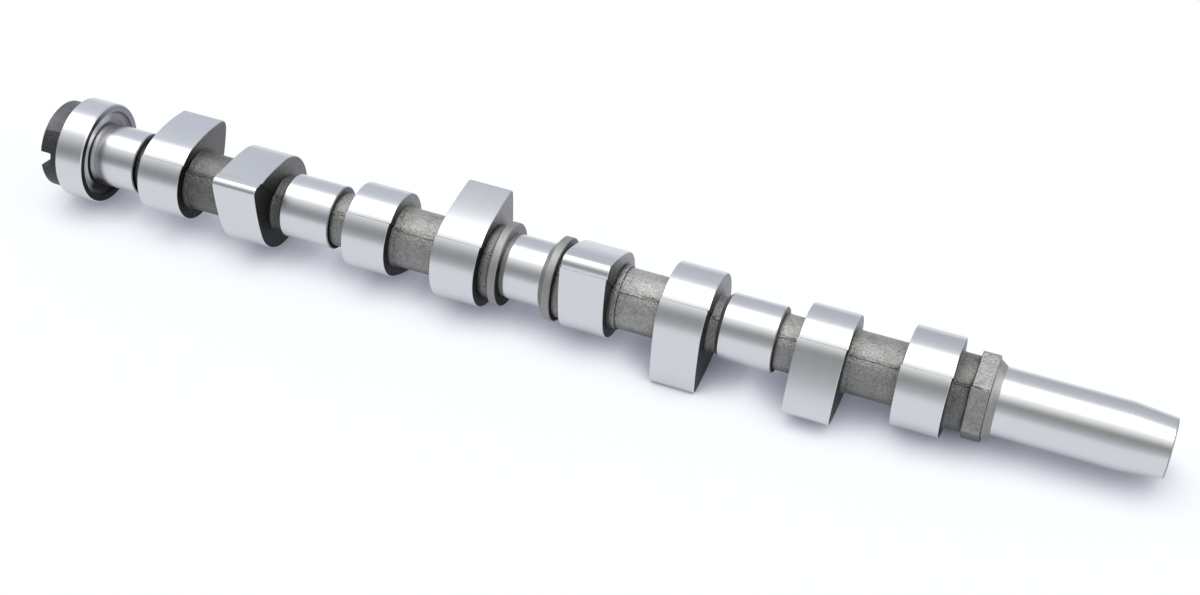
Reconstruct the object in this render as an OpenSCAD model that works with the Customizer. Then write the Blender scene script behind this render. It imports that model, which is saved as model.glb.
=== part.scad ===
// Camshaft of an overhead-cam four-cylinder engine, chilled cast iron, one casting.
// The shaft lies along X with the tapered nose at +X and the slotted end at -X.
// The origin is the middle of the thrust journal, on the shaft's axis.

/* [Layout] */
// Distance from one cylinder to the next
cylinder_pitch = 92.5; // [86:0.5:110]
// Distance of each lobe's middle from its cylinder's middle
lobe_offset = 19.6; // [17:0.1:22]
// Width of a lobe where the mould parts
lobe_w = 18.8; // [14:0.1:20]
// Angle from the exhaust nose to the intake nose of one cylinder
lobe_separation = 106.5; // [95:0.5:120]
// Turn of the whole shaft about its axis, as it comes to rest on a flat surface
rest_roll = 227.5; // [0:0.5:360]

/* [Exhaust lobes] */
// Base circle diameter
exhaust_base_d = 34.7; // [31:0.1:38]
// Lift at the nose
exhaust_lift = 9.5; // [6:0.1:11]
// Radius of the nose
exhaust_nose_r = 4.4; // [3:0.1:6]
// Angle from the nose to the point where the flank leaves the base circle
exhaust_action = 65; // [62:0.5:75]

/* [Intake lobes] */
// Base circle diameter
intake_base_d = 38.8; // [35:0.1:41]
// Lift at the nose
intake_lift = 9; // [6:0.1:10]
// Radius of the nose
intake_nose_r = 3; // [2:0.1:5]
// Angle from the nose to the point where the flank leaves the base circle
intake_action = 56; // [54:0.5:70]

/* [Journals] */
// Diameter of all five ground journals
journal_d = 26; // [25:0.1:29]
// Length of the thrust journal between its two collars
thrust_journal_w = 14.6; // [12:0.1:18]
// Length of the second journal
second_journal_w = 21.4; // [16:0.1:23]
// Length of the fourth journal
fourth_journal_w = 22.6; // [16:0.1:24]
// Distance from a bearing's middle to the end of its journal on the nose's side, for those two
plain_journal_reach = 9; // [8:0.1:11]
// Length of the journal beside the flange ring
rear_journal_w = 20.1; // [14:0.1:26]
// Length of the journal on the nose, up to the taper
nose_journal_w = 46.3; // [30:0.1:60]
// Bevel that breaks the ends of the journals
journal_bevel = 0.4; // [0.2:0.1:1]
// Bevel at the fourth journal's end nearest the thrust journal
lead_bevel = 1.5; // [0.6:0.1:2]

/* [Cast stretches] */
// Diameter between the two lobes of one cylinder
core_d = 24.4; // [22:0.1:25]
// Diameter of the short necks beside the journals
neck_d = 22; // [18:0.1:24]
// Diameter between the last lobe and the hexagon
nose_core_d = 29.2; // [26:0.1:30]
// Fillet where a cast stretch runs into a lobe
cast_fillet = 3; // [1.5:0.1:4]
// Neck between the rear journal and the first lobe
rear_neck_l = 5; // [3:0.1:8]
// Draft of the lobes' side faces to each side of the parting plane
draft = 0.7; // [0.5:0.1:3]
// Parting plane, as an angle from the first intake nose
parting_angle = 8.5; // [0:0.5:20]
// Shift of the one mould half towards the nose
mould_shift = 0.4; // [0.1:0.05:0.8]
// Distance by which the casting lies off the axis on which the shaft was ground
cast_offset = 0.4; // [0.1:0.05:0.8]
// Width of the raised seam that the mould joint leaves
seam_w = 0.8; // [0.4:0.1:1.5]
// Height of that seam
seam_h = 0.25; // [0.1:0.05:0.6]

/* [Thrust collars] */
// Diameter of both collars
collar_d = 33.8; // [31:0.1:34.5]
// Rim of the collar on the slotted end's side
rear_collar_w = 3.35; // [2.5:0.05:5]
// Rim of the collar on the nose's side
front_collar_w = 3.2; // [2:0.1:4]
// Length of the front collar's sloping inner face
front_collar_slope = 2.9; // [1:0.1:3.5]
// Width of the relief groove between thrust face and journal
thrust_relief_w = 2.05; // [1:0.05:2.5]
// Depth of that groove below the journal
thrust_relief_depth = 0.5; // [0.2:0.05:1]
// Diameter of the cast shoulders beside the lobes next to the collars
shoulder_d = 29; // [27:0.1:31]
// Diameter of the low cast shoulder on the nose's side of the fifth lobe
low_shoulder_d = 25.4; // [25.2:0.1:28]
// Length of that low shoulder
low_shoulder_l = 2.7; // [2:0.1:5]

/* [Flange ring and slotted end] */
// Diameter of the ground ring
ring_d = 42; // [38:0.1:50]
// Width of that ring
ring_w = 12.3; // [8:0.1:16]
// Depth to which the ring's face is dished at its root
dish_depth = 1.8; // [1:0.1:3]
// Outer diameter of that dish
dish_d = 36; // [30:0.1:37.5]
// Diameter of the slotted end
end_d = 36.2; // [30:0.1:37.5]
// Length of the slotted end
end_l = 8.9; // [6.5:0.1:14]
// Width of the drive slot
slot_w = 6.6; // [5:0.1:9]
// Depth of the drive slot
slot_depth = 5; // [4.3:0.1:6]
// Turn of the slot, as an angle from the first intake nose
slot_angle = 32.5; // [0:0.5:90]

/* [Hexagon and nose] */
// Distance between the hexagon's flats
hex_af = 31; // [29.5:0.1:33]
// Diameter over its rounded corners
hex_corner_d = 35; // [33:0.1:35.6]
// Length of the hexagon
hex_l = 7.5; // [5:0.1:12]
// Length of the cast stretch between the last lobe and the hexagon
nose_core_l = 6.8; // [4:0.1:10]
// Length of the turned slope between the hexagon and the nose journal
hex_slope_l = 3; // [2:0.1:5]
// Diameter of that slope at the hexagon
hex_slope_d = 30; // [28:0.1:30.5]
// Length of the taper that carries the timing pulley
taper_l = 16; // [10:0.1:20]
// Length in which the taper loses one unit of diameter
taper_ratio = 5; // [4:0.5:10]
// Bevel around the end of the nose
nose_bevel = 0.5; // [0.3:0.1:1.5]

/* [Drillings] */
// Tapping drill diameter of the pulley bolt's hole
bolt_hole_d = 10.2; // [8.5:0.1:12]
// Depth of that hole
bolt_hole_depth = 34; // [20:1:44]
// Mouth diameter of the 60 degree centre in front of the thread
bolt_mouth_d = 14; // [12.5:0.1:16]
// Mouth diameter of the 60 degree centre in the slotted end
centre_d = 12; // [10:0.1:16]
// Pilot hole at the bottom of that centre
centre_pilot_d = 4; // [2.5:0.1:6]
// Depth of that pilot hole below the centre
centre_pilot_l = 4; // [2:0.1:8]

/* [Hidden] */

$fn = 96;
// Cylinders by number from the slotted end, in the order in which they fire
firing_order = [1, 3, 4, 2];
cylinders = len(firing_order);
firing_step = 360 / cylinders;
hex_sides = 6;
// Angle between the outline's points on the base circle and on the flanks and nose
base_step = 3;
flank_points = 14;
nose_points = 12;
// Cuts run past the faces that they open by this much
over = 1;
// Depth to which the cast fillets reach into a lobe's side face
fillet_root = 1.2;
centre_angle = 60;
drill_tip_angle = 118;

journal_r = journal_d / 2;
core_r = core_d / 2;
neck_r = neck_d / 2;
collar_r = collar_d / 2;
shoulder_r = shoulder_d / 2;
nose_core_r = nose_core_d / 2;
relief_r = journal_r - thrust_relief_depth;
bevel_start_r = journal_r - (taper_l - nose_bevel) / taper_ratio / 2;

// Stations along the shaft
function cylinder_z(n) = (n - (cylinders + 1) / 2) * cylinder_pitch;
function exhaust_z(n) = cylinder_z(n) - lobe_offset;
function intake_z(n) = cylinder_z(n) + lobe_offset;
first_lobe_z = exhaust_z(1) - lobe_w / 2;
last_lobe_z = intake_z(cylinders) + lobe_w / 2;
rear_journal_z1 = first_lobe_z - rear_neck_l;
rear_journal_z0 = rear_journal_z1 - rear_journal_w;
ring_z1 = rear_journal_z0 + dish_depth / 2;
ring_z0 = ring_z1 - ring_w;
end_z = ring_z0 - end_l;
thrust_z = thrust_journal_w / 2;
rear_thrust_face_z = -thrust_z - thrust_relief_w;
rear_collar_z0 = rear_thrust_face_z - rear_collar_w;
front_collar_z0 = thrust_z + front_collar_slope;
front_collar_z1 = front_collar_z0 + front_collar_w;
second_journal_z1 = plain_journal_reach - cylinder_pitch;
second_journal_z0 = second_journal_z1 - second_journal_w;
fourth_journal_z1 = plain_journal_reach + cylinder_pitch;
fourth_journal_z0 = fourth_journal_z1 - fourth_journal_w;
hex_z0 = last_lobe_z + nose_core_l;
hex_z1 = hex_z0 + hex_l;
nose_journal_z0 = hex_z1 + hex_slope_l;
taper_z0 = nose_journal_z0 + nose_journal_w;
nose_z = taper_z0 + taper_l;

// Turn of a cylinder's intake nose about the axis, from its place in the firing order
function intake_turn(n) = search(n, firing_order)[0] * firing_step;
function exhaust_turn(n) = intake_turn(n) - lobe_separation;

// Points of an arc about a centre, from one angle to another
function arc(centre, r, from, to, steps) =
    [for (i = [0 : steps]) let (a = from + (to - from) * i / steps) centre + r * [cos(a), sin(a)]];

// A three-arc cam with its nose on +X: the flank is tangent to base circle and nose.
// base_r + reach is the flank's radius, which follows from that tangency.
function flank_reach(base_r, nose_at, nose_r, action) =
    (nose_at * nose_at - (base_r - nose_r) * (base_r - nose_r))
        / (2 * (base_r - nose_r - nose_at * cos(action)));

function half_cam(base_r, lift, nose_r, action) =
    let (
        nose_at = base_r + lift - nose_r,
        reach = flank_reach(base_r, nose_at, nose_r, action),
        flank_centre = -reach * [cos(action), sin(action)],
        nose_turn = atan2(-flank_centre.y, nose_at - flank_centre.x),
        base_steps = ceil((180 - action) / base_step),
        nose = arc([nose_at, 0], nose_r, 0, nose_turn, nose_points),
        flank = arc(flank_centre, base_r + reach, nose_turn, action, flank_points),
        base = arc([0, 0], base_r, action, 180, base_steps)
    )
    concat(nose, [for (i = [1 : flank_points]) flank[i]], [for (i = [1 : base_steps]) base[i]]);

// The whole outline: one half, then the other half mirrored and walked backwards
function cam_outline(base_r, lift, nose_r, action) =
    let (half = half_cam(base_r, lift, nose_r, action), last = len(half) - 1)
    concat(half, [for (i = [last - 1 : -1 : 1]) [half[i].x, -half[i].y]]);

// Space that the mould leaves between two drafted side faces, with the parting plane at
// Y = 0. The half on the -Y side stands towards the nose by the mould's shift.
module mould_space(z0, z1, reach) {
    lost = reach * tan(draft);
    rotate([90, 0, 90])
        translate([0, 0, -reach])
            linear_extrude(2 * reach)
                polygon([
                    [0, z0], [reach, z0 + lost], [reach, z1 - lost], [0, z1],
                    [0, z1 + mould_shift], [-reach, z1 - lost + mould_shift],
                    [-reach, z0 + lost + mould_shift], [0, z0 + mould_shift]
                ]);
}

// One lobe, turned about the axis, with the draft faces of the common parting plane
module lobe(base_d, lift, nose_r, action, turn) {
    reach = base_d / 2 + lift + over;
    intersection() {
        rotate(turn)
            translate([0, 0, -lobe_w])
                linear_extrude(2 * lobe_w)
                    polygon(cam_outline(base_d / 2, lift, nose_r, action));
        rotate(-parting_angle)
            mould_space(-lobe_w / 2, lobe_w / 2, reach);
    }
}

module exhaust_lobe(n) {
    translate([0, 0, exhaust_z(n)])
        lobe(exhaust_base_d, exhaust_lift, exhaust_nose_r, exhaust_action, exhaust_turn(n));
}

module intake_lobe(n) {
    translate([0, 0, intake_z(n)])
        lobe(intake_base_d, intake_lift, intake_nose_r, intake_action, intake_turn(n));
}

// Half sections are drawn as radius and station, for one revolve
module land(z0, z1, r) {
    translate([0, z0])
        square([r, z1 - z0]);
}

module slope(z0, r0, z1, r1) {
    polygon([[0, z0], [r0, z0], [r1, z1], [0, z1]]);
}

// Bevel that breaks the journal's end at z, with the journal on the facing side
module bevel_section(z, bevel, facing) {
    if (facing > 0)
        slope(z, journal_r - bevel, z + bevel, journal_r);
    else
        slope(z - bevel, journal_r, z, journal_r - bevel);
}

// Ground journal with bevelled ends
module journal_section(z0, z1, bevel0) {
    bevel_section(z0, bevel0, 1);
    land(z0 + bevel0, z1 - journal_bevel, journal_r);
    bevel_section(z1, journal_bevel, -1);
}

// Slotted end, dished ring and the journal beside it
module rear_end_section() {
    land(end_z, ring_z0, end_d / 2);
    difference() {
        land(ring_z0, ring_z1, ring_d / 2);
        slope(ring_z1 - dish_depth, relief_r, ring_z1, dish_d / 2);
    }
    land(ring_z0, rear_journal_z0, relief_r);
    land(rear_journal_z0, rear_journal_z1 - journal_bevel, journal_r);
    bevel_section(rear_journal_z1, journal_bevel, -1);
}

// Thrust journal between its relief, its two collars and the front collar's slope
module thrust_section() {
    land(rear_collar_z0, rear_thrust_face_z, collar_r);
    land(rear_thrust_face_z, -thrust_z, relief_r);
    land(-thrust_z, thrust_z, journal_r);
    slope(thrust_z, journal_r, front_collar_z0, collar_r);
    land(front_collar_z0, front_collar_z1, collar_r);
}

// Slope behind the hexagon, nose journal, taper and its bevelled end
module nose_section() {
    land(hex_z1 - over, taper_z0, journal_r);
    slope(hex_z1, hex_slope_d / 2, nose_journal_z0, journal_r);
    slope(taper_z0, journal_r, nose_z - nose_bevel, bevel_start_r);
    slope(nose_z - nose_bevel, bevel_start_r, nose_z, bevel_start_r - nose_bevel);
}

module machined() {
    rotate_extrude() {
        rear_end_section();
        journal_section(second_journal_z0, second_journal_z1, journal_bevel);
        thrust_section();
        journal_section(fourth_journal_z0, fourth_journal_z1, lead_bevel);
        nose_section();
    }
}

// Fillet that rises from a cast stretch of radius r to a lobe's side face at z
module fillet_section(z, r, facing) {
    difference() {
        translate([0, facing > 0 ? z : z - cast_fillet])
            square([r + cast_fillet, cast_fillet]);
        translate([r + cast_fillet, z + facing * cast_fillet])
            circle(cast_fillet);
    }
}

// The fillets start inside the lobes, so that only their upper part shows
function left_root(z) = z - lobe_w / 2 + fillet_root;
function right_root(z) = z + lobe_w / 2 - fillet_root;

// Cast stretch from the lobe at z0 to the lobe at z1, filleted into both
module cast_stretch(z0, z1, r) {
    land(z0, z1, r);
    fillet_section(right_root(z0), r, 1);
    fillet_section(left_root(z1), r, -1);
}

// Cores between the lobes of a cylinder, necks beside the journals and shoulders beside
// the collars. A neck runs on through its journal.
module cast_sections() {
    for (n = [1 : cylinders])
        cast_stretch(exhaust_z(n), intake_z(n), core_r);
    land(rear_journal_z1 - over, exhaust_z(1), neck_r);
    fillet_section(left_root(exhaust_z(1)), neck_r, -1);
    cast_stretch(intake_z(1), exhaust_z(2), neck_r);
    land(intake_z(2), rear_collar_z0 + over, shoulder_r);
    land(front_collar_z1 - over, exhaust_z(3), shoulder_r);
    land(exhaust_z(3), exhaust_z(3) + lobe_w / 2 + low_shoulder_l, low_shoulder_d / 2);
    cast_stretch(intake_z(3), exhaust_z(4), neck_r);
    land(intake_z(cylinders), hex_z1 - over, nose_core_r);
    fillet_section(right_root(intake_z(cylinders)), nose_core_r, 1);
}

// Raised line of the mould joint along one cast stretch, on both sides of the shaft
module seam(z0, z1, r) {
    translate([-r - seam_h, -seam_w / 2, z0])
        cube([2 * (r + seam_h), seam_w, z1 - z0]);
}

module seams() {
    for (n = [1 : cylinders])
        seam(exhaust_z(n), intake_z(n), core_r);
    seam(rear_journal_z1 - over, exhaust_z(1), neck_r);
    seam(intake_z(1), exhaust_z(2), neck_r);
    seam(intake_z(2), rear_collar_z0 + over, shoulder_r);
    seam(front_collar_z1 - over, exhaust_z(3), shoulder_r);
    seam(intake_z(3), exhaust_z(4), neck_r);
    seam(intake_z(cylinders), hex_z1 - over, nose_core_r);
}

// Hexagon with two corners on the parting plane, all of them rounded. Its face at the
// slotted end is as the mould left it, and its face at the nose is turned.
module hexagon() {
    across_corners = hex_af / cos(180 / hex_sides);
    intersection() {
        mould_space(hex_z0, hex_z1 + hex_l, hex_corner_d);
        translate([0, 0, hex_z0])
            cylinder(d = across_corners, h = hex_l, $fn = hex_sides);
        translate([0, 0, hex_z0])
            cylinder(d = hex_corner_d, h = hex_l);
    }
}

// Everything that stays as cast, turned to the parting plane and set off the ground axis
module cast_body() {
    rotate(-parting_angle)
        translate([0, cast_offset, 0]) {
            rotate_extrude()
                cast_sections();
            seams();
            hexagon();
        }
}

// Slot across the end face, which drives what is mounted behind the cylinder head
module drive_slot() {
    rotate(slot_angle)
        translate([-end_d / 2 - over, -slot_w / 2, end_z - over])
            cube([end_d + 2 * over, slot_w, slot_depth + over]);
}

// 60 degree centre drilled into the end face before the slot, for turning and grinding
module rear_centre() {
    centre_l = (centre_d - centre_pilot_d) / 2 / tan(centre_angle / 2);
    translate([0, 0, end_z - over])
        cylinder(d = centre_pilot_d, h = over + centre_l + centre_pilot_l);
    translate([0, 0, end_z])
        cylinder(d1 = centre_d, d2 = centre_pilot_d, h = centre_l);
}

// Tapped hole for the pulley bolt, with its drill tip and a 60 degree centre in front
module bolt_hole() {
    tip_l = bolt_hole_d / 2 / tan(drill_tip_angle / 2);
    mouth_l = (bolt_mouth_d - bolt_hole_d) / 2 / tan(centre_angle / 2);
    translate([0, 0, nose_z - bolt_hole_depth])
        cylinder(d = bolt_hole_d, h = bolt_hole_depth + over);
    translate([0, 0, nose_z - bolt_hole_depth - tip_l])
        cylinder(d1 = 0, d2 = bolt_hole_d, h = tip_l);
    translate([0, 0, nose_z - mouth_l])
        cylinder(d1 = bolt_hole_d, d2 = bolt_mouth_d, h = mouth_l);
}

module camshaft() {
    color("gainsboro")
        rotate([0, 90, 0])
            rotate(rest_roll)
                difference() {
                    union() {
                        cast_body();
                        machined();
                        for (n = [1 : cylinders]) {
                            exhaust_lobe(n);
                            intake_lobe(n);
                        }
                    }
                    drive_slot();
                    rear_centre();
                    bolt_hole();
                }
}

camshaft();
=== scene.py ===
import math

import bmesh
import bpy
from mathutils import Matrix, Vector, noise


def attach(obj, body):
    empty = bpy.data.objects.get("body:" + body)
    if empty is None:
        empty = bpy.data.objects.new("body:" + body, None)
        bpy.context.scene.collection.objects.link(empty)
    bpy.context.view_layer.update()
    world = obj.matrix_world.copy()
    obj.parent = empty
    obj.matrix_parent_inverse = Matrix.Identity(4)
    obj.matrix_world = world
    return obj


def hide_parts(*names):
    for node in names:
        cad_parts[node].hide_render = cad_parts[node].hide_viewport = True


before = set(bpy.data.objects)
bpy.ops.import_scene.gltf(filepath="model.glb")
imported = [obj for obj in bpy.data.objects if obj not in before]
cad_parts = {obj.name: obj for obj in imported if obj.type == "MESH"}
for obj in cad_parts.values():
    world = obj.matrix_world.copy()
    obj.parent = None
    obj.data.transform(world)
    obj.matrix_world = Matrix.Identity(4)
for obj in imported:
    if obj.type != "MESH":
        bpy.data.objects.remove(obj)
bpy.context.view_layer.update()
noise.seed_set(5)  # so that the seam wanders alike each run
print("frame loaded")

# Sizes are in millimetres and angles in degrees, with the shaft along Z and the first
# intake nose at angle 0. The finished piece is turned into the frame and scaled at the end.
shaft = {
    "pitch": 92.5,
    "lobeOffset": 19.6,
    "lobeWidth": 18.8,
    "separation": 106.5,
    "firing": [1, 3, 4, 2],
    "restRoll": 227.5,
    "journalR": 13.0,
    "edge": 0.4,
    "steps": 144,
    "weld": 0.002,
    "sharp": 35.0,
}
firstFace = -1.5 * shaft["pitch"] - shaft["lobeOffset"] - shaft["lobeWidth"] / 2
lastFace = -firstFace
millimetre = 0.001
# How far a shell reaches into its neighbour, and a cutter out of the shaft
overlap = 1.0

# Finishes in the order in which the piece's material slots hold them
ground, cast, lobeSide, turned, drilled, faced, slotted = range(7)
finishes = []


def exhaustAt(n):
    return (n - 2.5) * shaft["pitch"] - shaft["lobeOffset"]


def intakeAt(n):
    return (n - 2.5) * shaft["pitch"] + shaft["lobeOffset"]


def turnBy(degrees):
    return Matrix.Rotation(math.radians(degrees), 4, "Z")


def shellObject(bm, name):
    bmesh.ops.recalc_face_normals(bm, faces=bm.faces)
    mesh = bpy.data.meshes.new(name)
    bm.to_mesh(mesh)
    bm.free()
    for material in finishes:
        mesh.materials.append(material)
    made = bpy.data.objects.new(name, mesh)
    bpy.context.scene.collection.objects.link(made)
    return made


def paint(bm, finish):
    for face in bm.faces:
        face.material_index = finish


def vertsOf(items):
    return [item for item in items if isinstance(item, bmesh.types.BMVert)]


def addBar(bm, across, wide, start, end):
    bmesh.ops.create_cube(bm, size=1, matrix=Matrix.LocRotScale(
        Vector((0, 0, (start + end) / 2)), None, Vector((across, wide, end - start))))


def raiseFaces(bm, faces, height):
    raised = bmesh.ops.extrude_face_region(bm, geom=faces, use_keep_orig=True)["geom"]
    bmesh.ops.translate(bm, vec=(0, 0, height), verts=vertsOf(raised))
    bmesh.ops.recalc_face_normals(bm, faces=bm.faces)


# A corner within reach of the plane counts as on it, so that no sliver is cut beside it
def cutAcross(bm, place, normal, reach):
    bmesh.ops.bisect_plane(bm, geom=bm.verts[:] + bm.edges[:] + bm.faces[:], dist=reach,
                           plane_co=place, plane_no=normal)


# Rounds the sharp edges around both side faces, along which z changes by less than slack
def roundRims(bm, offset, segments, sharp=60, slack=0.3):
    rims = [edge for edge in bm.edges if len(edge.link_faces) == 2
            and edge.calc_face_angle(0) > math.radians(sharp)
            and abs(edge.verts[0].co.z - edge.verts[1].co.z) < slack]
    bmesh.ops.bevel(bm, geom=rims, offset=offset, segments=segments, profile=0.5,
                    affect="EDGES", material=-1, clamp_overlap=True)


# Revolves pairs of radius and station about the shaft's axis and closes the ends with flat
# caps. A third item names the finish of the band that leads to its point.
def revolved(name, profile, finish, steps=shaft["steps"]):
    bm = bmesh.new()
    bands = [point[2] if len(point) > 2 else finish for point in profile[1:]]
    corners = [bm.verts.new((point[0], 0, point[1])) for point in profile]
    edges = [bm.edges.new(pair) for pair in zip(corners, corners[1:])]
    middles = [((a.co.x + b.co.x) / 2, (a.co.z + b.co.z) / 2) for a, b in zip(corners, corners[1:])]
    bmesh.ops.spin(bm, geom=corners + edges, cent=(0, 0, 0), axis=(0, 0, 1),
                   angle=math.tau, steps=steps, use_merge=True, use_duplicate=False)
    for face in bm.faces:
        centre = face.calc_center_median()
        radius = math.hypot(centre.x, centre.y)
        near = min(range(len(middles)), key=lambda i: math.hypot(middles[i][0] - radius,
                                                                 middles[i][1] - centre.z))
        face.material_index = bands[near]
    rims = [edge for edge in bm.edges if edge.is_boundary]
    caps = bmesh.ops.holes_fill(bm, edges=rims, sides=0)["faces"]
    for face in caps:
        face.material_index = finish
    return shellObject(bm, name)


# Ground and turned lengths, each a shell of its own until all are united
rearEnd = {
    "r": 18.1, "length": 8.9, "edge": 0.6, "ringR": 21.0, "ringWidth": 12.3, "ringEdge": 0.5,
    "dishDepth": 1.8, "dishMiddleR": 15.46, "dishBend": 2.69, "dishFrom": 70.8, "dishTo": -35.4,
    "dishSteps": 10, "neck": 5.0, "journalLength": 20.1, "rootR": 12.5,
}
rearEnd["journalEnd"] = firstFace - rearEnd["neck"]
rearEnd["journalStart"] = rearEnd["journalEnd"] - rearEnd["journalLength"]
rearEnd["ringEnd"] = rearEnd["journalStart"] + rearEnd["dishDepth"] / 2
rearEnd["ringStart"] = rearEnd["ringEnd"] - rearEnd["ringWidth"]
rearEnd["face"] = rearEnd["ringStart"] - rearEnd["length"]


# Round-bottomed dish between the ring's face and the journal
def dishPoints(s):
    points = []
    for i in range(s["dishSteps"] + 1):
        a = math.radians(s["dishFrom"] + (s["dishTo"] - s["dishFrom"]) * i / s["dishSteps"])
        points.append((s["dishMiddleR"] + s["dishBend"] * math.sin(a),
                       s["ringEnd"] - s["dishDepth"] + s["dishBend"] * (1 - math.cos(a)),
                       faced))
    return points


def rearJournalShell(s, r, edge):
    dish = dishPoints(s)
    return revolved("rearJournal", [
        (s["ringR"] - s["ringEdge"], s["ringStart"]),
        (s["ringR"], s["ringStart"] + s["ringEdge"], turned),
        (s["ringR"], s["ringEnd"] - s["ringEdge"], ground),
        (s["ringR"] - s["ringEdge"], s["ringEnd"], ground),
        *dish,
        (s["rootR"], dish[-1][1], turned),
        (s["rootR"], s["journalStart"], turned),
        (r, s["journalStart"], turned),
        (r, s["journalEnd"] - edge, ground),
        (r - edge, s["journalEnd"], turned),
    ], turned)


def slottedEndShell(s):
    made = revolved("slottedEnd", [
        (s["r"] - s["edge"], s["face"]),
        (s["r"], s["face"] + s["edge"], slotted),
        (s["r"], s["ringStart"] + overlap, slotted),
    ], turned)
    made.data.transform(castPlace)
    return made


plainJournals = {"reach": 9.0, "secondLength": 21.4, "fourthLength": 22.6, "lead": 1.5}


def plainJournalShell(name, end, length, lead, r, edge):
    start = end - length
    return revolved(name, [
        (r - lead, start),
        (r, start + lead, turned),
        (r, end - edge, ground),
        (r - edge, end, turned),
    ], turned)


collars = {
    "journalHalf": 7.3, "relief": 2.05, "reliefR": 12.5, "r": 16.9, "rearRim": 3.35,
    "slope": 2.9, "frontRim": 3.2, "edge": 0.35,
}
collars["rearFace"] = -collars["journalHalf"] - collars["relief"]
collars["rearStart"] = collars["rearFace"] - collars["rearRim"]
collars["frontStart"] = collars["journalHalf"] + collars["slope"]
collars["frontEnd"] = collars["frontStart"] + collars["frontRim"]


def thrustShell(s, r):
    return revolved("thrustCollars", [
        (s["r"] - s["edge"], s["rearStart"]),
        (s["r"], s["rearStart"] + s["edge"], turned),
        (s["r"], s["rearFace"] - s["edge"], turned),
        (s["r"] - s["edge"], s["rearFace"], turned),
        (s["reliefR"], s["rearFace"], turned),
        (s["reliefR"], -s["journalHalf"], turned),
        (r, -s["journalHalf"], turned),
        (r, s["journalHalf"], ground),
        (s["r"], s["frontStart"], turned),
        (s["r"], s["frontEnd"] - s["edge"], turned),
        (s["r"] - s["edge"], s["frontEnd"], turned),
    ], turned)


nose = {
    "core": 6.8, "hexLength": 7.5, "slope": 3.0, "slopeR": 15.0, "journal": 46.3,
    "taper": 16.0, "ratio": 5.0, "edge": 0.5, "coreReach": 1.5,
}
nose["hexStart"] = lastFace + nose["core"]
nose["hexEnd"] = nose["hexStart"] + nose["hexLength"]
nose["coreEnd"] = nose["hexEnd"] - nose["coreReach"]
nose["journalStart"] = nose["hexEnd"] + nose["slope"]
nose["taperStart"] = nose["journalStart"] + nose["journal"]
nose["face"] = nose["taperStart"] + nose["taper"]


def noseShell(s, r):
    tipR = r - (s["taper"] - s["edge"]) / s["ratio"] / 2
    return revolved("nose", [
        (s["slopeR"], s["hexEnd"] - overlap),
        (s["slopeR"], s["hexEnd"], turned),
        (r, s["journalStart"], turned),
        (r, s["taperStart"], ground),
        (tipR, s["face"] - s["edge"], ground),
        (tipR - s["edge"], s["face"], turned),
    ], turned)


# Stretches that stay as cast, set off the ground axis by the casting's offset
casting = {
    "parting": 8.5, "offset": 0.4, "shift": 0.4, "draft": 0.7, "stepHalf": 0.15,
    "coreR": 12.2, "neckR": 11.0, "shoulderR": 14.5, "noseCoreR": 14.6,
    "fillet": 3.0, "filletSteps": 8, "root": 1.2, "lowShoulder": 2.7, "lowShoulderR": 12.7,
    "steps": 96, "seamWidth": 0.9, "seamHeight": 0.25, "seamStep": 0.8,
    "wanderX": 0.25, "wanderY": 0.35, "wanderScale": (3, 3, 0.7),
}
castPlace = turnBy(-casting["parting"]) @ Matrix.Translation((0, casting["offset"], 0))


# Fillet from the side face at z down to radius r, or up again where facing is negative
def filletPoints(z, r, facing, size, count):
    points = []
    for i in range(count + 1):
        a = math.radians(90 * i / count)
        points.append((r + size * (1 - math.sin(a)), z + facing * size * (1 - math.cos(a))))
    return points if facing > 0 else points[::-1]


# Runs from start to end, which are the middles of lobes where there is a fillet
def castStretch(name, start, end, r, s, filletStart, filletEnd):
    half = shaft["lobeWidth"] / 2 - s["root"]
    size = s["fillet"]
    count = s["filletSteps"]
    profile = filletPoints(start + half, r, 1, size, count) if filletStart else [(r, start)]
    profile += filletPoints(end - half, r, -1, size, count) if filletEnd else [(r, end)]
    made = revolved(name, profile, cast, steps=s["steps"])
    made.data.transform(castPlace)
    return made


# Raised line of the mould joint: a bar across the shaft whose edges wander a little
def seamBar(name, start, end, r, s):
    bm = bmesh.new()
    addBar(bm, 2 * (r + s["seamHeight"]), s["seamWidth"], start, end)
    for i in range(1, int((end - start) / s["seamStep"])):
        cutAcross(bm, (0, 0, start + i * s["seamStep"]), (0, 0, 1), 1e-5)
    for vert in bm.verts:
        place = Vector([at * scale for at, scale in zip(vert.co, s["wanderScale"])])
        wander = noise.noise_vector(place)
        vert.co.x += wander.x * s["wanderX"]
        vert.co.y += wander.y * s["wanderY"]
    paint(bm, cast)
    made = shellObject(bm, name)
    made.data.transform(castPlace)
    return made


# Drafts the side faces away from the parting plane, and shifts one mould half along the shaft
def mouldFaces(bm, lower, upper, s, shiftUpper):
    flush = 1e-4
    for vert in bm.verts:
        across = vert.co.y
        drafted = abs(across) * math.tan(math.radians(s["draft"]))
        shift = s["shift"] if across < 0 else 0
        if abs(vert.co.z - lower) < flush:
            vert.co.z += drafted + shift
        elif abs(vert.co.z - upper) < flush and shiftUpper:
            vert.co.z += shift - drafted


# Cuts along both edges of the step between the mould halves
def cutAtParting(bm, s):
    for place in (-s["stepHalf"], s["stepHalf"]):
        cutAcross(bm, (0, place, 0), (0, 1, 0), 0.04)


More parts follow.
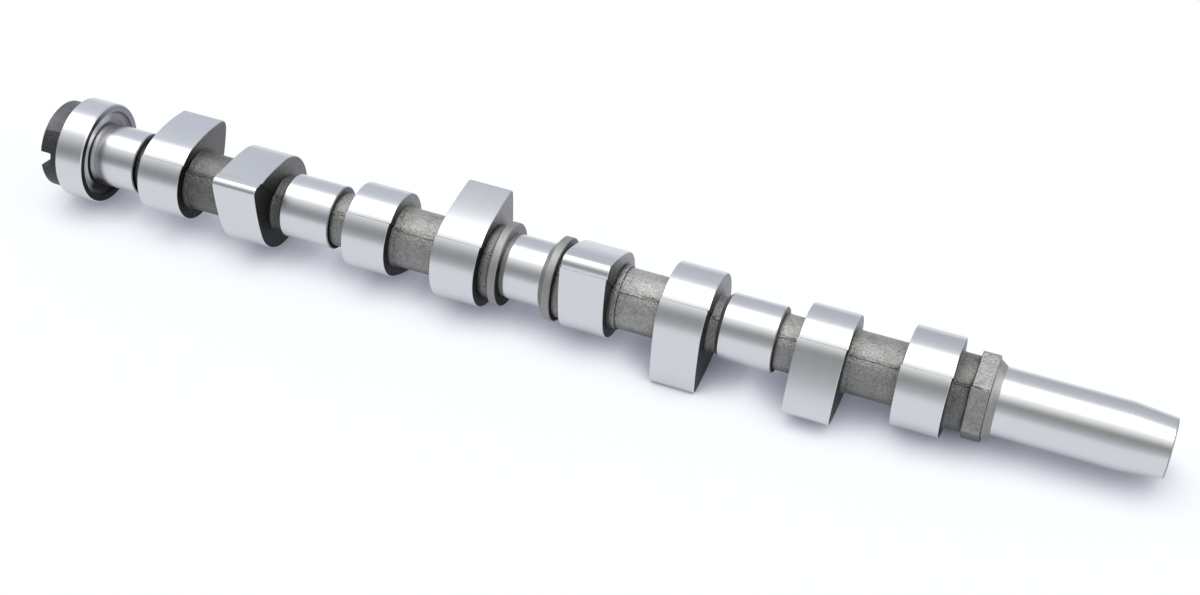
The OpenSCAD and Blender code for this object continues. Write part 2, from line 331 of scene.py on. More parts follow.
# Three-arc cams: nose, flank and base circle, each arc tangent to the next. A face is a side
# face where its normal's share along the shaft is over sideOn, and on the step over stepSlope.
exhaustCam = {"baseR": 17.35, "lift": 9.5, "noseR": 4.4, "action": 65.0}
intakeCam = {"baseR": 19.4, "lift": 9.0, "noseR": 3.0, "action": 56.0}
lobe = {
    "edge": 0.35, "edgeSteps": 3, "noseSteps": 24, "flankSteps": 60, "baseSteps": 120,
    "sideOn": 0.99, "stepSlope": 0.3,
}


def camOutline(bm, cam, z):
    baseR = cam["baseR"]
    noseR = cam["noseR"]
    noseAt = baseR + cam["lift"] - noseR
    action = math.radians(cam["action"])
    reach = (noseAt ** 2 - (baseR - noseR) ** 2) / (2 * (baseR - noseR - noseAt * math.cos(action)))
    flankCentre = Vector((-reach * math.cos(action), -reach * math.sin(action), z))
    noseTurn = math.atan2(-flankCentre.y, noseAt - flankCentre.x)
    walker = bm.verts.new((noseAt + noseR, 0, z))
    arcs = [
        (Vector((noseAt, 0, z)), noseTurn, lobe["noseSteps"]),
        (flankCentre, action - noseTurn, lobe["flankSteps"]),
        (Vector((0, 0, z)), math.pi - action, lobe["baseSteps"]),
    ]
    for centre, angle, steps in arcs:
        swept = bmesh.ops.spin(bm, geom=[walker], cent=centre, axis=(0, 0, 1), angle=angle,
                               steps=steps, use_merge=False, use_duplicate=False)
        walker = vertsOf(swept["geom_last"])[0]
    walker.co.y = 0
    copied = bmesh.ops.duplicate(bm, geom=bm.verts[:] + bm.edges[:])["geom"]
    bmesh.ops.scale(bm, vec=(1, -1, 1), verts=vertsOf(copied))
    bmesh.ops.remove_doubles(bm, verts=bm.verts, dist=1e-3)
    return bmesh.ops.edgeloop_fill(bm, edges=bm.edges[:])["faces"]


def lobeShell(name, cam, middle, angle, s, form):
    bm = bmesh.new()
    half = shaft["lobeWidth"] / 2
    raiseFaces(bm, camOutline(bm, cam, -half), 2 * half)
    bmesh.ops.transform(bm, matrix=turnBy(angle + s["parting"]), verts=bm.verts)
    cutAtParting(bm, s)
    mouldFaces(bm, -half, half, s, True)
    roundRims(bm, form["edge"], form["edgeSteps"])
    bmesh.ops.recalc_face_normals(bm, faces=bm.faces)
    for face in bm.faces:
        face.normal_update()
        along = abs(face.normal.z)
        onStep = abs(face.calc_center_median().y) < s["stepHalf"] and along > form["stepSlope"]
        face.material_index = lobeSide if along > form["sideOn"] or onStep else ground
    made = shellObject(bm, name)
    made.data.transform(Matrix.Translation((0, 0, middle)) @ turnBy(-s["parting"]))
    return made


hexagon = {
    "flats": 31.0, "corner": 1.5, "cornerSteps": 5, "edge": 0.5, "edgeSteps": 3, "sideOn": 0.99,
}


# Its side face towards the nose is turned with the slope beside it
def hexagonShell(s, form, place):
    bm = bmesh.new()
    radius = form["flats"] / 2 / math.cos(math.radians(30))
    bmesh.ops.create_circle(bm, cap_ends=True, radius=radius, segments=6,
                            matrix=Matrix.Translation((0, 0, place["hexStart"])) @ turnBy(30))
    raiseFaces(bm, bm.faces[:], place["hexLength"])
    uprights = [edge for edge in bm.edges if abs(edge.verts[0].co.z - edge.verts[1].co.z) > 1]
    bmesh.ops.bevel(bm, geom=uprights, offset=form["corner"], segments=form["cornerSteps"],
                    profile=0.5, affect="EDGES", material=-1)
    cutAtParting(bm, s)
    mouldFaces(bm, place["hexStart"], place["hexEnd"], s, False)
    roundRims(bm, form["edge"], form["edgeSteps"])
    for face in bm.faces:
        face.normal_update()
        atEnd = face.calc_center_median().z > place["hexEnd"] - 0.1
        face.material_index = turned if atEnd and face.normal.z > form["sideOn"] else cast
    made = shellObject(bm, "hexagon")
    made.data.transform(castPlace)
    return made


# Cutters: drive slot, lathe centre and the pulley bolt's hole
cuts = {
    "slotWidth": 6.6, "slotDepth": 5.0, "slotAngle": 32.5, "slotAcross": 50.0, "slotRise": 2.0,
    "slotEdge": 0.5, "slotEdgeSteps": 3, "centreR": 6.0, "pilotR": 2.0, "pilotLength": 4.0,
    "holeR": 5.1, "holeDepth": 34.0, "mouthR": 7.0, "coneHalf": 30.0, "tip": 118.0, "tipR": 0.05,
    "steps": 72,
}


def slotCutter(s, place):
    bm = bmesh.new()
    end = place["face"] + s["slotDepth"]
    addBar(bm, s["slotAcross"], s["slotWidth"], place["face"] - s["slotRise"], end)
    floorEdges = [edge for edge in bm.edges if min(v.co.z for v in edge.verts) > end - 0.1
                  and abs(edge.verts[0].co.x - edge.verts[1].co.x) > 1]
    bmesh.ops.bevel(bm, geom=floorEdges, offset=s["slotEdge"], segments=s["slotEdgeSteps"],
                    profile=0.5, affect="EDGES", material=-1)
    paint(bm, slotted)
    made = shellObject(bm, "slotCutter")
    made.data.transform(turnBy(s["slotAngle"]))
    return made


def centreCutter(s, place):
    slope = math.tan(math.radians(s["coneHalf"]))
    coneEnd = place["face"] + (s["centreR"] - s["pilotR"]) / slope
    return revolved("centreCutter", [
        (s["centreR"] + overlap * slope, place["face"] - overlap),
        (s["pilotR"], coneEnd),
        (s["pilotR"], coneEnd + s["pilotLength"]),
    ], drilled, steps=s["steps"])


def boltCutter(s, place):
    slope = math.tan(math.radians(s["coneHalf"]))
    mouthEnd = place["face"] - (s["mouthR"] - s["holeR"]) / slope
    bottom = place["face"] - s["holeDepth"]
    tip = bottom - s["holeR"] / math.tan(math.radians(s["tip"] / 2))
    return revolved("boltCutter", [
        (s["tipR"], tip),
        (s["holeR"], bottom),
        (s["holeR"], mouthEnd),
        (s["mouthR"] + overlap * slope, place["face"] + overlap),
    ], drilled, steps=s["steps"])


def combine(target, operand, operation):
    modifier = target.modifiers.new(operation.lower(), "BOOLEAN")
    modifier.operation = operation
    modifier.object = operand
    modifier.solver = "MANIFOLD"
    graph = bpy.context.evaluated_depsgraph_get()
    baked = bpy.data.meshes.new_from_object(target.evaluated_get(graph))
    target.modifiers.clear()
    target.data = baked
    bpy.data.objects.remove(operand)


def buildShaft(s, c):
    r = s["journalR"]
    edge = s["edge"]
    # Name, start, end, radius, a fillet at each end or none, and whether the mould's line shows
    stretches = [
        ("rearNeck", rearEnd["journalEnd"] - overlap, exhaustAt(1), c["neckR"], (False, True), True),
        ("secondNeck", intakeAt(1), exhaustAt(2), c["neckR"], (True, True), True),
        ("rearShoulder", intakeAt(2), collars["rearStart"] + overlap, c["shoulderR"],
         (False, False), True),
        ("frontShoulder", collars["frontEnd"] - overlap, exhaustAt(3), c["shoulderR"],
         (False, False), True),
        ("lowShoulder", exhaustAt(3), exhaustAt(3) + s["lobeWidth"] / 2 + c["lowShoulder"],
         c["lowShoulderR"], (False, False), False),
        ("fourthNeck", intakeAt(3), exhaustAt(4), c["neckR"], (True, True), True),
        ("noseCore", intakeAt(4), nose["coreEnd"], c["noseCoreR"], (True, False), True),
    ]
    shells = [
        slottedEndShell(rearEnd),
        plainJournalShell("secondJournal", plainJournals["reach"] - s["pitch"],
                          plainJournals["secondLength"], edge, r, edge),
        thrustShell(collars, r),
        plainJournalShell("fourthJournal", plainJournals["reach"] + s["pitch"],
                          plainJournals["fourthLength"], plainJournals["lead"], r, edge),
        noseShell(nose, r),
    ]
    for name, start, end, radius, fillets, lined in stretches:
        shells.append(castStretch(name, start, end, radius, c, *fillets))
    for name, start, end, radius, fillets, lined in stretches:
        if lined:
            shells.append(seamBar(name + "Seam", start, end, radius, c))
    shells.append(hexagonShell(c, hexagon, nose))
    for n in range(1, len(s["firing"]) + 1):
        angle = s["firing"].index(n) * 90
        shells += [
            castStretch(f"core{n}", exhaustAt(n), intakeAt(n), c["coreR"], c, True, True),
            seamBar(f"coreSeam{n}", exhaustAt(n), intakeAt(n), c["coreR"], c),
            lobeShell(f"exhaustLobe{n}", exhaustCam, exhaustAt(n), angle - s["separation"], c, lobe),
            lobeShell(f"intakeLobe{n}", intakeCam, intakeAt(n), angle, c, lobe),
        ]
    whole = rearJournalShell(rearEnd, r, edge)
    whole.name = "shaft"
    for shell in shells:
        combine(whole, shell, "UNION")
    print("shells united")
    for cutter in (slotCutter(cuts, rearEnd), centreCutter(cuts, rearEnd), boltCutter(cuts, nose)):
        combine(whole, cutter, "DIFFERENCE")
    print("slot and holes cut")
    return whole


def finishShaft(whole, s):
    intoFrame = Matrix.Rotation(math.radians(90), 4, "Y") @ turnBy(s["restRoll"])
    whole.data.transform(Matrix.Scale(millimetre, 4) @ intoFrame)
    bm = bmesh.new()
    bm.from_mesh(whole.data)
    weld = s["weld"] * millimetre
    bmesh.ops.remove_doubles(bm, verts=bm.verts, dist=weld)
    bmesh.ops.dissolve_degenerate(bm, edges=bm.edges, dist=weld)
    bmesh.ops.delete(bm, geom=[edge for edge in bm.edges if edge.is_wire], context="EDGES")
    bmesh.ops.delete(bm, geom=[vert for vert in bm.verts if not vert.link_faces], context="VERTS")
    bmesh.ops.recalc_face_normals(bm, faces=bm.faces)
    for face in bm.faces:
        face.smooth = True
    sharp = math.radians(s["sharp"])
    for edge in bm.edges:
        edge.smooth = len(edge.link_faces) == 2 and edge.calc_face_angle(0) < sharp
    opened = [edge for edge in bm.edges if not edge.is_manifold]
    print("faces", len(bm.faces), "open edges", len(opened))
    bm.to_mesh(whole.data)
    bm.free()
    weighted = whole.modifiers.new("flatShading", "WEIGHTED_NORMAL")
    weighted.keep_sharp = True
    weighted.weight = 50


def srgb(code):
    channels = [int(code[i:i + 2], 16) / 255 for i in (1, 3, 5)]
    linear = [c / 12.92 if c <= 0.04045 else ((c + 0.055) / 1.055) ** 2.4 for c in channels]
    return (*linear, 1)


# One node with its settings and inputs. An input that is another node's output is linked.
def addNode(tree, kind, settings, inputs):
    made = tree.nodes.new(kind)
    for key, value in settings.items():
        setattr(made, key, value)
    for key, value in inputs.items():
        if isinstance(value, bpy.types.NodeSocket):
            tree.links.new(value, made.inputs[key])
        else:
            made.inputs[key].default_value = value
    return made


# Stops as pairs of position and colour, in rising order
def fillRamp(ramp, stops):
    elements = ramp.color_ramp.elements
    while len(elements) < len(stops):
        elements.new(1.0)
    for element, (position, colour) in zip(elements, stops):
        element.position = position
        element.color = colour


def newMaterial(name):
    made = bpy.data.materials.new(name)
    made.use_nodes = True
    made.node_tree.nodes.clear()
    return made, made.node_tree


# Surface with its output. Each height is a pattern, its strength and its depth in millimetres.
def closeMaterial(tree, inputs, heights=()):
    surfaceInputs = dict(inputs)
    for height, strength, depth in heights:
        bumpInputs = {"Height": height, "Strength": strength, "Distance": depth * millimetre}
        if "Normal" in surfaceInputs:
            bumpInputs["Normal"] = surfaceInputs["Normal"]
        surfaceInputs["Normal"] = addNode(tree, "ShaderNodeBump", {}, bumpInputs).outputs[0]
    surface = addNode(tree, "ShaderNodeBsdfPrincipled", {}, surfaceInputs)
    addNode(tree, "ShaderNodeOutputMaterial", {}, {"Surface": surface.outputs[0]})


# Object coordinates in millimetres, stretched by a factor along each axis
def millimetreGrid(tree, stretch):
    place = addNode(tree, "ShaderNodeTexCoord", {}, {}).outputs["Object"]
    factors = tuple(k / millimetre for k in stretch)
    return addNode(tree, "ShaderNodeVectorMath", {"operation": "MULTIPLY"},
                   {0: place, 1: factors}).outputs[0]


# Share by which a face looks along the shaft, from 0 around it to 1 on a side face
def sideShare(tree, low, high):
    facing = addNode(tree, "ShaderNodeTexCoord", {}, {}).outputs["Normal"]
    parts = addNode(tree, "ShaderNodeSeparateXYZ", {}, {0: facing})
    along = addNode(tree, "ShaderNodeMath", {"operation": "ABSOLUTE"}, {0: parts.outputs["X"]})
    return addNode(tree, "ShaderNodeMapRange", {"interpolation_type": "SMOOTHSTEP"}, {
        "Value": along.outputs[0], "From Min": low, "From Max": high}).outputs[0]


# Skin of the casting. Its upper mould half looks away from the front, at partingRise from upright, and
# the painted highlight in the dish goes where it looks to the front, at frontRise above level. Sand
# grains are about 0.3 mm wide and are drawn at 0.8 mm, so that they show. The painted shade along the
# shaft is given as pairs of station and share.
skin = {
    "partingRise": 51.0, "frontRise": 41.6, "cornerShadeReach": 2.6, "grain": 0.8, "dimples": 2.6,
    # scale is the near black that the grain's dark specks and the painted shade take the skin towards
    "patches": 5.0, "stain": "#857B64", "seam": "#3A3632", "scale": "#0D0D0D",
    "shadeAlongShaft": (
        (-213, 0.19), (-206, 0.21), (-139, 0.44), (-111, 0.55), (-110, 0.47), (-105, 0.47),
        (-104, 0.6), (-93, 0.66), (-46, 0.81), (-19, 0.86), (-18, 0.78), (-12, 0.78), (-11, 0.9),
        (46, 1.0), (74, 0.94), (75, 0.72), (79, 0.72), (80, 0.92), (139, 0.75), (167, 0.75),
        (168.5, 0.45), (174, 0.45), (175.2, 0.83), (185, 0.83),
    ),
}


# Height above the casting's parting plane in millimetres
def aboveParting(tree):
    angle = math.radians(skin["partingRise"])
    way = (0, math.sin(angle) / millimetre, math.cos(angle) / millimetre)
    place = addNode(tree, "ShaderNodeTexCoord", {}, {}).outputs["Object"]
    height = addNode(tree, "ShaderNodeVectorMath", {"operation": "DOT_PRODUCT"},
                     {0: place, 1: way}).outputs["Value"]
    return addNode(tree, "ShaderNodeMath", {"operation": "ADD"},
                   {0: height, 1: casting["offset"]}).outputs[0]


# Share of full tone at a place on the skin, a painted shade: less towards the slotted end and in the
# narrow necks, in the corners and on the side that looks down
def paintedSkinShade(tree):
    place = addNode(tree, "ShaderNodeTexCoord", {}, {})
    parts = addNode(tree, "ShaderNodeSeparateXYZ", {}, {0: place.outputs["Object"]})
    first = skin["shadeAlongShaft"][0][0]
    last = skin["shadeAlongShaft"][-1][0]
    # Painted shade along the shaft
    share = addNode(tree, "ShaderNodeMapRange", {}, {
        "Value": parts.outputs["X"], "From Min": first * millimetre, "From Max": last * millimetre})
    ramp = addNode(tree, "ShaderNodeValToRGB", {}, {0: share.outputs[0]})
    fillRamp(ramp, [((station - first) / (last - first), (tone, tone, tone, 1))
                    for station, tone in skin["shadeAlongShaft"]])
    # Painted shade in the corners, where the skin is hemmed in
    openness = addNode(tree, "ShaderNodeAmbientOcclusion", {"samples": 8, "only_local": True},
                       {"Distance": skin["cornerShadeReach"] * millimetre})
    corner = addNode(tree, "ShaderNodeMapRange", {}, {
        "Value": openness.outputs["AO"], "From Min": 0.5, "From Max": 0.92, "To Min": 0.08})
    opened = addNode(tree, "ShaderNodeMath", {"operation": "MULTIPLY"},
                     {0: ramp.outputs[0], 1: corner.outputs[0]})
    # Painted shade on the faces that look down
    facing = addNode(tree, "ShaderNodeSeparateXYZ", {}, {0: place.outputs["Normal"]})
    shadeUnderneath = addNode(tree, "ShaderNodeMapRange", {}, {
        "Value": facing.outputs["Z"], "From Min": -0.75, "From Max": -0.25, "To Min": 0.25})
    return addNode(tree, "ShaderNodeMath", {"operation": "MULTIPLY"},
                   {0: opened.outputs[0], 1: shadeUnderneath.outputs[0]}).outputs[0]


# Chilled iron, ground: a soft mirror with fine lines around the shaft. The wheel's own lines
# are hundredths of a millimetre apart, and are drawn 0.3 mm apart so that they show.
def groundIron():
    made, tree = newMaterial("groundIron")
    lines = addNode(tree, "ShaderNodeTexNoise", {}, {
        "Vector": millimetreGrid(tree, (3.0, 0.03, 0.03)), "Scale": 1.0, "Detail": 4.0,
        "Roughness": 0.7}).outputs[0]
    tone = addNode(tree, "ShaderNodeMix", {"data_type": "RGBA"}, {
        0: lines, 6: srgb("#C9CACC"), 7: srgb("#D3D4D6")}).outputs[2]
    gloss = addNode(tree, "ShaderNodeMapRange", {}, {
        "Value": lines, "To Min": 0.2, "To Max": 0.3}).outputs[0]
    closeMaterial(tree, {"Metallic": 1.0, "Base Color": tone, "Roughness": gloss},
                  [(lines, 0.12, 0.004)])
    return made


# The cast finishes' tone above and below the parting plane, and on side faces, which are dark with
# painted light on their upper part and painted shade on their lower part
castFinishes = {
    "castIron": {"upper": "#B4B4B2", "lower": "#AAAAA8",
                 "litUpperSide": "#9A9A9B", "shadedLowerSide": "#3A3A3B", "metallic": 0.7},
    "castIronLobeSide": {"upper": "#5A5A5A", "lower": "#5A5A5A",
                         "litUpperSide": "#A4A4A5", "shadedLowerSide": "#343435", "metallic": 0.8},
    "castIronSlottedEnd": {"upper": "#D4D4DC", "lower": "#84848C",
                           "litUpperSide": "#9A9A9B", "shadedLowerSide": "#3A3A3B", "metallic": 0.7},
}


# Iron as it left the sand mould: a soft grain, dark side faces with painted light on their upper part
# and painted shade on their lower part, painted shade in the corners and along the shaft, brownish
# stains and an uneven dark line where the mould halves met
def castIron(name, s):
    made, tree = newMaterial(name)
    grain = addNode(tree, "ShaderNodeTexNoise", {}, {
        "Vector": millimetreGrid(tree, (1 / skin["grain"],) * 3), "Scale": 1.0, "Detail": 3.0,
        "Roughness": 0.6}).outputs[0]
    dimples = addNode(tree, "ShaderNodeTexNoise", {}, {
        "Vector": millimetreGrid(tree, (1 / skin["dimples"],) * 3), "Scale": 1.0, "Detail": 2.0,
        "Roughness": 0.5}).outputs[0]
    patches = addNode(tree, "ShaderNodeTexNoise", {}, {
        "Vector": millimetreGrid(tree, (1 / skin["patches"],) * 3), "Scale": 1.0,
        "Detail": 3.0}).outputs[0]
    height = aboveParting(tree)
    half = addNode(tree, "ShaderNodeMapRange", {}, {
        "Value": height, "From Min": -0.4, "From Max": 0.4}).outputs[0]
    tone = addNode(tree, "ShaderNodeMix", {"data_type": "RGBA"}, {
        0: half, 6: srgb(s["lower"]), 7: srgb(s["upper"])}).outputs[2]
    stains = addNode(tree, "ShaderNodeMapRange", {}, {
        "Value": patches, "From Min": 0.5, "From Max": 0.7, "To Max": 0.4}).outputs[0]
    tone = addNode(tree, "ShaderNodeMix", {"data_type": "RGBA"}, {
        0: stains, 6: tone, 7: srgb(skin["stain"])}).outputs[2]
    wander = addNode(tree, "ShaderNodeMapRange", {}, {
        "Value": dimples, "To Min": -0.9, "To Max": 0.9}).outputs[0]
    offLine = addNode(tree, "ShaderNodeMath", {"operation": "ADD"}, {0: height, 1: wander}).outputs[0]
    away = addNode(tree, "ShaderNodeMath", {"operation": "ABSOLUTE"}, {0: offLine}).outputs[0]
    onLine = addNode(tree, "ShaderNodeMapRange", {}, {
        "Value": away, "From Min": 0.1, "From Max": 0.55, "To Min": 1.0, "To Max": 0.0}).outputs[0]
    broken = addNode(tree, "ShaderNodeMapRange", {}, {
        "Value": patches, "From Min": 0.4, "From Max": 0.6, "To Max": 0.6}).outputs[0]
    seam = addNode(tree, "ShaderNodeMath", {"operation": "MULTIPLY"}, {0: onLine, 1: broken}).outputs[0]
    tone = addNode(tree, "ShaderNodeMix", {"data_type": "RGBA"}, {
        0: seam, 6: tone, 7: srgb(skin["seam"])}).outputs[2]
    # Painted light on the upper part of the side faces and painted shade on their lower part
    upper = addNode(tree, "ShaderNodeMapRange", {"interpolation_type": "SMOOTHSTEP"}, {
        "Value": height, "From Min": 0.0, "From Max": 15.0}).outputs[0]
    sides = addNode(tree, "ShaderNodeMix", {"data_type": "RGBA"}, {
        0: upper, 6: srgb(s["shadedLowerSide"]), 7: srgb(s["litUpperSide"])}).outputs[2]
    tone = addNode(tree, "ShaderNodeMix", {"data_type": "RGBA"}, {
        0: sideShare(tree, 0.25, 0.8), 6: tone, 7: sides}).outputs[2]
    speckle = addNode(tree, "ShaderNodeMapRange", {}, {
        "Value": grain, "From Min": 0.32, "From Max": 0.68, "To Min": 0.6}).outputs[0]
    # The painted shade and the grain's dark specks take the tone towards near black
    share = addNode(tree, "ShaderNodeMath", {"operation": "MULTIPLY"},
                    {0: paintedSkinShade(tree), 1: speckle}).outputs[0]
    tone = addNode(tree, "ShaderNodeMix", {"data_type": "RGBA"}, {
        0: share, 6: srgb(skin["scale"]), 7: tone}).outputs[2]
    closeMaterial(tree, {"Metallic": s["metallic"], "Roughness": 0.44, "Base Color": tone},
                  [(dimples, 0.7, 0.5), (grain, 1.0, 0.4)])
    return made


# Iron turned on a lathe and left so: coarser lines, 0.25 mm apart, and a duller face. The side faces
# between the lobes get a painted shade below the parting plane, and those of the ends go without it.
def turnedIron():
    made, tree = newMaterial("turnedIron")
    lines = addNode(tree, "ShaderNodeTexNoise", {}, {
        "Vector": millimetreGrid(tree, (4, 0.25, 0.25)), "Scale": 1.0, "Detail": 3.0}).outputs[0]
    grain = addNode(tree, "ShaderNodeTexNoise", {}, {
        "Vector": millimetreGrid(tree, (1, 1, 1)), "Scale": 1.0, "Detail": 3.0}).outputs[0]
    tone = addNode(tree, "ShaderNodeMix", {"data_type": "RGBA"}, {
        0: lines, 6: srgb("#868685"), 7: srgb("#A6A6A5")}).outputs[2]
    # Painted shade on the side faces below the parting plane, not at the ends
    upper = addNode(tree, "ShaderNodeMapRange", {}, {
        "Value": aboveParting(tree), "From Min": -4.0, "From Max": 4.0}).outputs[0]
    place = addNode(tree, "ShaderNodeTexCoord", {}, {}).outputs["Object"]
    parts = addNode(tree, "ShaderNodeSeparateXYZ", {}, {0: place})
    station = addNode(tree, "ShaderNodeMath", {"operation": "ABSOLUTE"},
                      {0: parts.outputs["X"]}).outputs[0]
    atEnd = addNode(tree, "ShaderNodeMapRange", {}, {
        "Value": station, "From Min": 200 * millimetre, "From Max": 204 * millimetre}).outputs[0]
    unshadedSide = addNode(tree, "ShaderNodeMath", {"operation": "MAXIMUM"}, {0: upper, 1: atEnd}).outputs[0]
    sides = addNode(tree, "ShaderNodeMix", {"data_type": "RGBA"}, {
        0: unshadedSide, 6: srgb("#2B2A2A"), 7: srgb("#868584")}).outputs[2]
    tone = addNode(tree, "ShaderNodeMix", {"data_type": "RGBA"}, {
        0: sideShare(tree, 0.75, 0.95), 6: tone, 7: sides}).outputs[2]
    closeMaterial(tree, {"Metallic": 1.0, "Roughness": 0.58, "Base Color": tone},
                  [(grain, 0.6, 0.12), (lines, 0.3, 0.02)])
    return made


# The ring's face and the dish beside the journal: faced on a lathe and dark, with painted light towards
# the top and painted shade lower down, and a painted highlight in the dish where it looks to the front.
# The tool's marks are finer than 0.2 mm, and are drawn 0.5 mm apart so that they show.
def facedIron():
    made, tree = newMaterial("facedIron")
    lines = addNode(tree, "ShaderNodeTexNoise", {}, {
        "Vector": millimetreGrid(tree, (2, 0.25, 0.25)), "Scale": 1.0, "Detail": 3.0}).outputs[0]
    # Painted shade low on the face, painted light towards the top
    upper = addNode(tree, "ShaderNodeMapRange", {"interpolation_type": "SMOOTHSTEP"}, {
        "Value": aboveParting(tree), "From Min": 4.0, "From Max": 17.0}).outputs[0]
    tone = addNode(tree, "ShaderNodeMix", {"data_type": "RGBA"}, {
        0: upper, 6: srgb("#1C1C1E"), 7: srgb("#808084")}).outputs[2]
    # Painted highlight in the dish where it looks to the front
    angle = math.radians(skin["frontRise"])
    way = (0, -math.cos(angle) / millimetre, math.sin(angle) / millimetre)
    place = addNode(tree, "ShaderNodeTexCoord", {}, {}).outputs["Object"]
    front = addNode(tree, "ShaderNodeVectorMath", {"operation": "DOT_PRODUCT"},
                    {0: place, 1: way}).outputs["Value"]
    radius = addNode(tree, "ShaderNodeVectorMath", {"operation": "LENGTH"},
                     {0: millimetreGrid(tree, (0, 1, 1))}).outputs["Value"]
    inDish = addNode(tree, "ShaderNodeMapRange", {}, {
        "Value": radius, "From Min": 18.3, "From Max": 17.9}).outputs[0]
    dishHighlight = addNode(tree, "ShaderNodeMapRange", {}, {
        "Value": front, "From Min": 3.0, "From Max": 10.0}).outputs[0]
    share = addNode(tree, "ShaderNodeMath", {"operation": "MULTIPLY"}, {0: inDish, 1: dishHighlight}).outputs[0]
    tone = addNode(tree, "ShaderNodeMix", {"data_type": "RGBA"}, {
        0: share, 6: tone, 7: srgb("#CCCCD0")}).outputs[2]
    closeMaterial(tree, {"Metallic": 1.0, "Roughness": 0.34, "Base Color": tone},
                  [(lines, 0.3, 0.02)])
    return made


# Drilled iron: plain, fairly bright walls inside the holes
def drilledIron():
    made, tree = newMaterial("drilledIron")
    closeMaterial(tree, {"Metallic": 1.0, "Roughness": 0.35, "Base Color": srgb("#9A9997")})
    return made


# Matt pale table that has a little glow of its own, dimmed into a painted shadow where the shaft is
# close. The half sphere in which it looks for the shaft leans to the front by shadeLean.
table = {
    "drop": 22.815, "up": (-0.0147, -0.0006, 0.9999), "size": 4.0,
    "tone": "#656565", "shadeReach": 17.0, "shadeLean": 40.0,
    "glowAndShadow": ((0.3, "#3F424D"), (0.6, "#9397A2"), (0.8, "#C8CBD4"), (0.97, "#E5E7ED")),
}


def makeTable(s):
    bm = bmesh.new()
    bmesh.ops.create_grid(bm, x_segments=1, y_segments=1, size=s["size"] / 2)
    made = shellObject(bm, "table")
    made.data.materials.clear()
    up = Vector(s["up"]).normalized()
    made.matrix_world = (Matrix.Translation(-up * s["drop"] * millimetre)
                         @ up.to_track_quat("Z", "Y").to_matrix().to_4x4())
    material, tree = newMaterial("paleTable")
    lean = math.radians(s["shadeLean"])
    towards = addNode(tree, "ShaderNodeCombineXYZ", {}, {1: -math.sin(lean), 2: math.cos(lean)})
    openness = addNode(tree, "ShaderNodeAmbientOcclusion", {"samples": 16}, {
        "Distance": s["shadeReach"] * millimetre, "Normal": towards.outputs[0]})
    # Painted shadow: the glow falls off where the shaft hems the table in
    glow = addNode(tree, "ShaderNodeValToRGB", {}, {0: openness.outputs["AO"]})
    fillRamp(glow, [(position, srgb(tone)) for position, tone in s["glowAndShadow"]])
    closeMaterial(tree, {"Base Color": srgb(s["tone"]), "Roughness": 1.0, "Specular IOR Level": 0.0,
                         "Emission Color": glow.outputs[0], "Emission Strength": 1.0})
    made.data.materials.append(material)


# What the ground surfaces mirror, by the angle around the shaft from the camera's side
# over the top: the table's edge, the dim room, the soft light above and the wall behind.
# The first row is for ways that lean to the slotted end and the second for square ones.
# A number stands for a grey that is brighter than white.
# Past the nose stands one more soft light.
light = {
    "level": 1.6,
    "lean": 0.57,
    "noseSide": (0.86, 0.96),
    "noseTone": 1.1,
    "angles": (-90, -3, 5, 13, 22, 30, 38, 46, 54, 62, 69, 76, 84, 102, 108, 113, 119, 134, 180, 270),
    "leaning": ("#D0D4DA", "#BCC0C2", "#989C9E", "#838789", "#767A7D", "#868A8B", "#9CA0A1",
                "#B0B4B4", "#BEC2C3", "#CACECF", "#E2E5E8", 1.4, 2.4, 2.3, 1.4, "#D6D9DD",
                "#C2C5CC", "#BABEC6", "#B8BCC7", "#D0D4DA"),
    "square": ("#D0D4DA", "#D0D2D4", "#B4B6B9", "#A2A4A6", "#949698", "#7D7E7D", "#797A78",
               "#A3A5A2", "#CED0CC", "#E0E1DF", "#EAECEC", 1.4, 2.4, 2.4, 1.5, "#ECEEF0",
               "#C0C2C3", "#B2B4B8", "#A0A1AA", "#D0D4DA"),
}


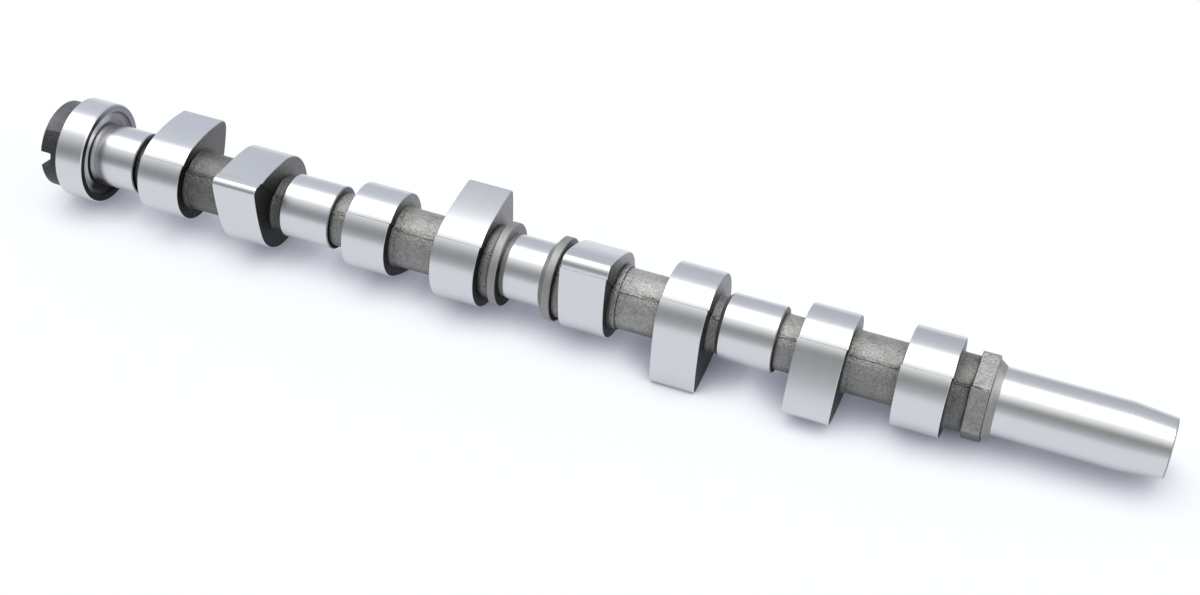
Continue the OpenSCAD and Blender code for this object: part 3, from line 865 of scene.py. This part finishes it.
def makeLight(s):
    world = bpy.data.worlds.new("studio")
    bpy.context.scene.world = world
    world.use_nodes = True
    tree = world.node_tree
    tree.nodes.clear()
    way = addNode(tree, "ShaderNodeTexCoord", {}, {}).outputs["Generated"]
    parts = addNode(tree, "ShaderNodeSeparateXYZ", {}, {0: way})
    turn = addNode(tree, "ShaderNodeMath", {"operation": "ARCTAN2"},
                   {0: parts.outputs["Y"], 1: parts.outputs["Z"]})
    share = addNode(tree, "ShaderNodeMapRange", {}, {
        "Value": turn.outputs[0], "From Min": -math.pi, "From Max": math.pi})
    rows = {}
    for name in ("square", "leaning"):
        ramp = addNode(tree, "ShaderNodeValToRGB", {}, {0: share.outputs[0]})
        colours = [srgb(tone) if isinstance(tone, str) else (tone, tone, tone, 1) for tone in s[name]]
        fillRamp(ramp, [((angle + 90) / 360, colour) for angle, colour in zip(s["angles"], colours)])
        rows[name] = ramp.outputs[0]
    across = addNode(tree, "ShaderNodeCombineXYZ", {}, {0: parts.outputs["Y"], 1: parts.outputs["Z"]})
    length = addNode(tree, "ShaderNodeVectorMath", {"operation": "LENGTH"}, {0: across.outputs[0]})
    lean = addNode(tree, "ShaderNodeMath", {"operation": "DIVIDE"},
                   {0: parts.outputs["X"], 1: length.outputs["Value"]})
    leaning = addNode(tree, "ShaderNodeMapRange", {}, {
        "Value": lean.outputs[0], "From Min": 0.0, "From Max": -s["lean"]})
    around = addNode(tree, "ShaderNodeMix", {"data_type": "RGBA"}, {
        0: leaning.outputs[0], 6: rows["square"], 7: rows["leaning"]}).outputs[2]
    noseSide = addNode(tree, "ShaderNodeMapRange", {}, {
        "Value": parts.outputs["X"], "From Min": s["noseSide"][0], "From Max": s["noseSide"][1]})
    mirrored = addNode(tree, "ShaderNodeMix", {"data_type": "RGBA"}, {
        0: noseSide.outputs[0], 6: around, 7: (*[s["noseTone"]] * 3, 1)}).outputs[2]
    glow = addNode(tree, "ShaderNodeBackground", {}, {"Color": mirrored, "Strength": s["level"]})
    addNode(tree, "ShaderNodeOutputWorld", {}, {"Surface": glow.outputs[0]})


camera = {"place": (210.447, -515.696, 457.856), "turn": (49.79292, -2.10751, 21.23505), "lens": 55.202}


def makeCamera(s):
    data = bpy.data.cameras.new("camera")
    data.lens = s["lens"]
    data.sensor_width = 36
    made = bpy.data.objects.new("camera", data)
    bpy.context.scene.collection.objects.link(made)
    made.location = [v * millimetre for v in s["place"]]
    made.rotation_euler = [math.radians(v) for v in s["turn"]]
    bpy.context.scene.camera = made


finishes += [
    groundIron(),
    castIron("castIron", castFinishes["castIron"]),
    castIron("castIronLobeSide", castFinishes["castIronLobeSide"]),
    turnedIron(),
    drilledIron(),
    facedIron(),
    castIron("castIronSlottedEnd", castFinishes["castIronSlottedEnd"]),
]
camshaft = buildShaft(shaft, casting)
camshaft.name = "camshaftVisual"
finishShaft(camshaft, shaft)
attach(camshaft, "root")
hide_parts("camshaft")
print("shaft finished")

makeTable(table)
makeLight(light)
makeCamera(camera)
bpy.context.scene.view_settings.view_transform = "Standard"
print("table, light and camera placed")
